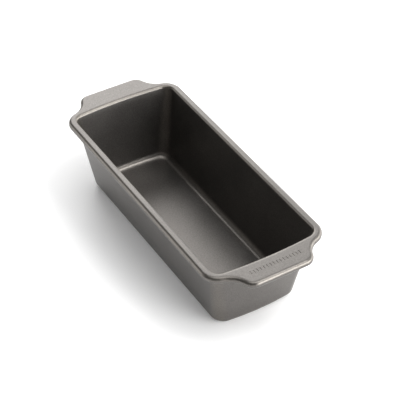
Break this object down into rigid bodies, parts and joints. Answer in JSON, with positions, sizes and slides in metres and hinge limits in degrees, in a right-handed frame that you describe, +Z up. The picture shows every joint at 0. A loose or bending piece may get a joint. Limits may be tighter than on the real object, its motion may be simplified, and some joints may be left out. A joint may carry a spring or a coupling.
{
  "type": "loaf pan",
  "caption": "Long drawn-steel loaf pan with tapered walls, rounded corners, a flat rim widened into a handle at each end, and an edge rolled over a wire.",
  "frame": {"origin": "middle of the flat underside, on the surface the pan stands on", "axes": "+X along the pan towards one handle, +Y across it, +Z up out of the mouth"},
  "size_m": [0.298, 0.117, 0.074],
  "materials": {
    "non_stick_coating": "satin",
    "steel_wire": "satin"
  },
  "bodies": {
    "root": {"pan_body": "non_stick_coating", "rim_wire": "steel_wire"}
  },
  "joints": []
}
